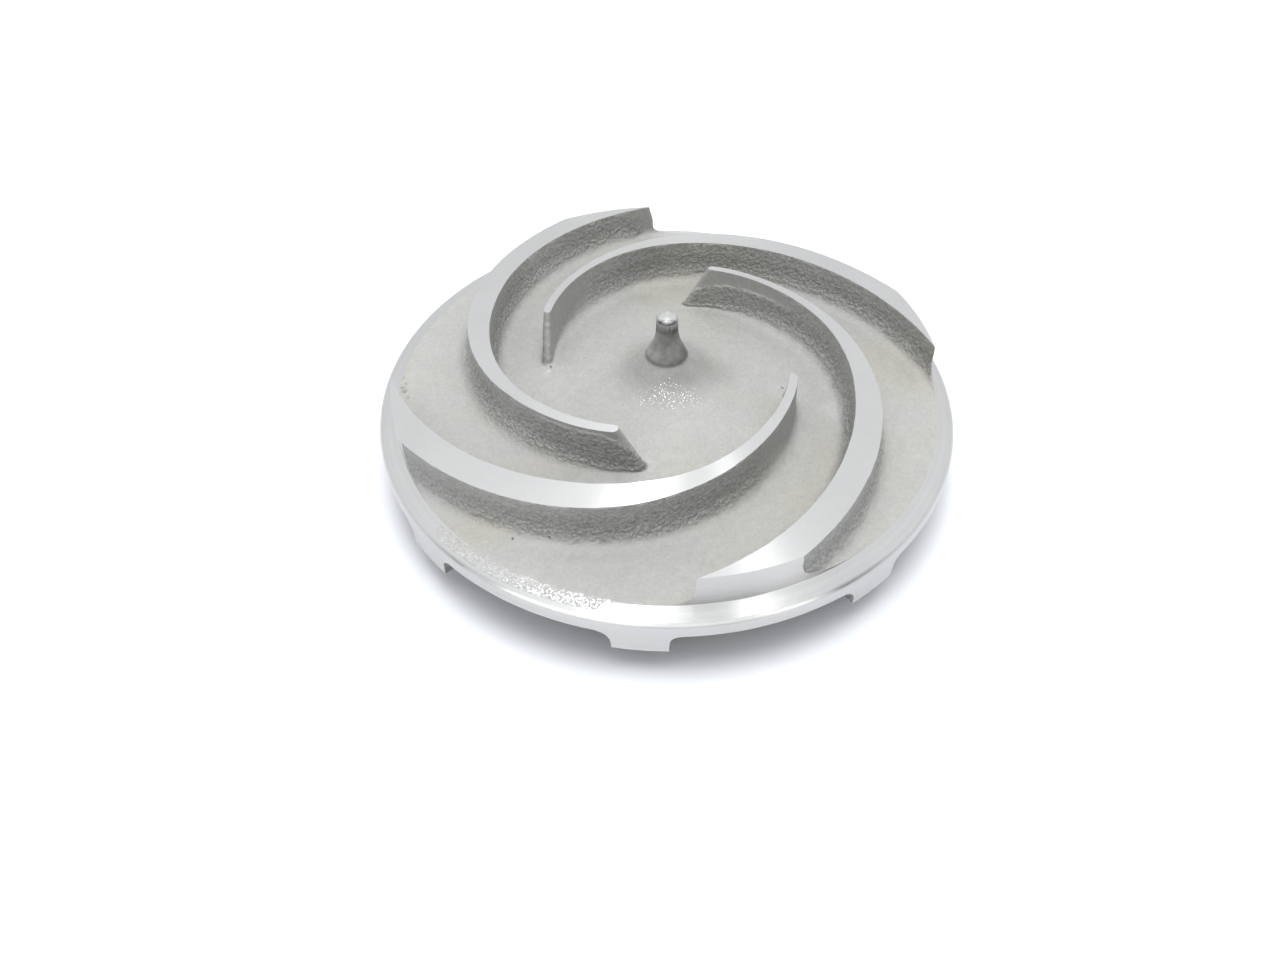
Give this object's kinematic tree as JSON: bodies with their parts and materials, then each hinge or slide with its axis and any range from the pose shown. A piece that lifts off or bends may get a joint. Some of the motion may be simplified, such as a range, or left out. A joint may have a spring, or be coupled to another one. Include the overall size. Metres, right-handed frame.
{
  "type": "pump impeller",
  "caption": "Semi-open centrifugal pump impeller: a cast steel disc with backward-curved vanes, a centre nose, a turned rim, pump-out vanes on its back and a rear hub with a blind shaft socket.",
  "frame": {"origin": "on the impeller's axis, in the plane of the rear hub's face that it stands on", "axes": "+Z along the axis, from the rear hub towards the nose on the inlet side"},
  "size_m": [0.2032, 0.2032, 0.0589],
  "materials": {
    "stainless_casting": "blasted and turned satin"
  },
  "bodies": {
    "root": {"impeller_casting": "stainless_casting"}
  },
  "joints": []
}
